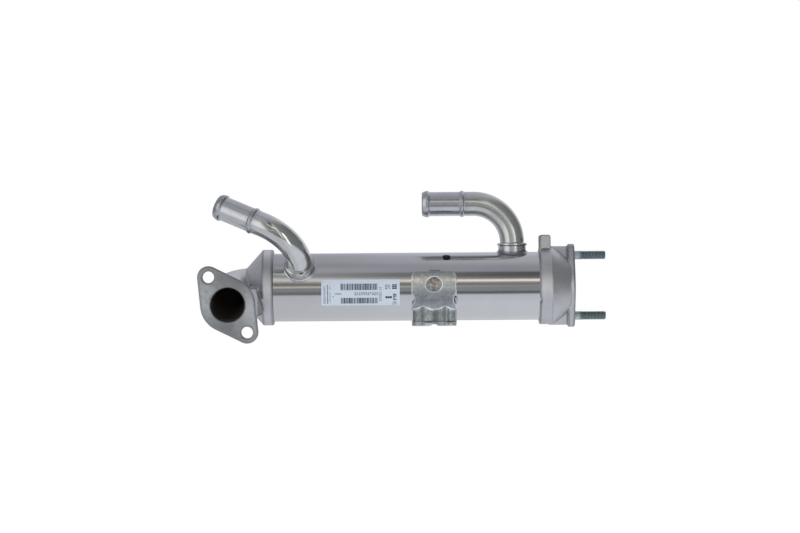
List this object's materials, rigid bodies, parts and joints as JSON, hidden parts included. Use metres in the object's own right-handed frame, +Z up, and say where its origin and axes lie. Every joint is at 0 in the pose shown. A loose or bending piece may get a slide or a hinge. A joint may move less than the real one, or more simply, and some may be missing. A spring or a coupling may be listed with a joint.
{
  "type": "egr cooler",
  "caption": "Round shell-and-tube exhaust gas cooler with a cast flanged elbow, a cast outlet with studs, bent coolant pipes and a saddle bracket.",
  "frame": {"origin": "centre of the outlet flange's face, on the shell's axis", "axes": "+X along the shell's axis, the way the gas leaves the outlet; +Z up, the way the right coolant pipe stands; the front, with the inlet flange and the bracket, looks along -Y"},
  "size_m": [0.2855, 0.0772, 0.1059],
  "materials": {
    "polished_steel": "polished",
    "satin_steel": "satin",
    "cast_steel": "as cast",
    "bracket_steel": "matt, mottled",
    "plated_stud": "plated",
    "label_paper": "matt",
    "inner_steel": "satin"
  },
  "bodies": {
    "root": {"shell_tube": "polished_steel", "inlet_casting": "cast_steel", "outlet_casting": "cast_steel", "left_coolant_pipe": "polished_steel", "left_pipe_socket": "polished_steel", "right_coolant_pipe": "satin_steel", "right_pipe_socket": "satin_steel", "mounting_bracket": "bracket_steel", "upper_stud": "plated_stud", "lower_stud": "plated_stud", "label": "label_paper", "inlet_tube_plate": "inner_steel", "outlet_tube_plate": "inner_steel", "support_baffle_1": "inner_steel", "support_baffle_2": "inner_steel", "gas_tube_1": "inner_steel", "gas_tube_2": "inner_steel", "gas_tube_3": "inner_steel", "gas_tube_4": "inner_steel", "gas_tube_5": "inner_steel", "gas_tube_6": "inner_steel", "gas_tube_7": "inner_steel"}
  },
  "joints": []
}
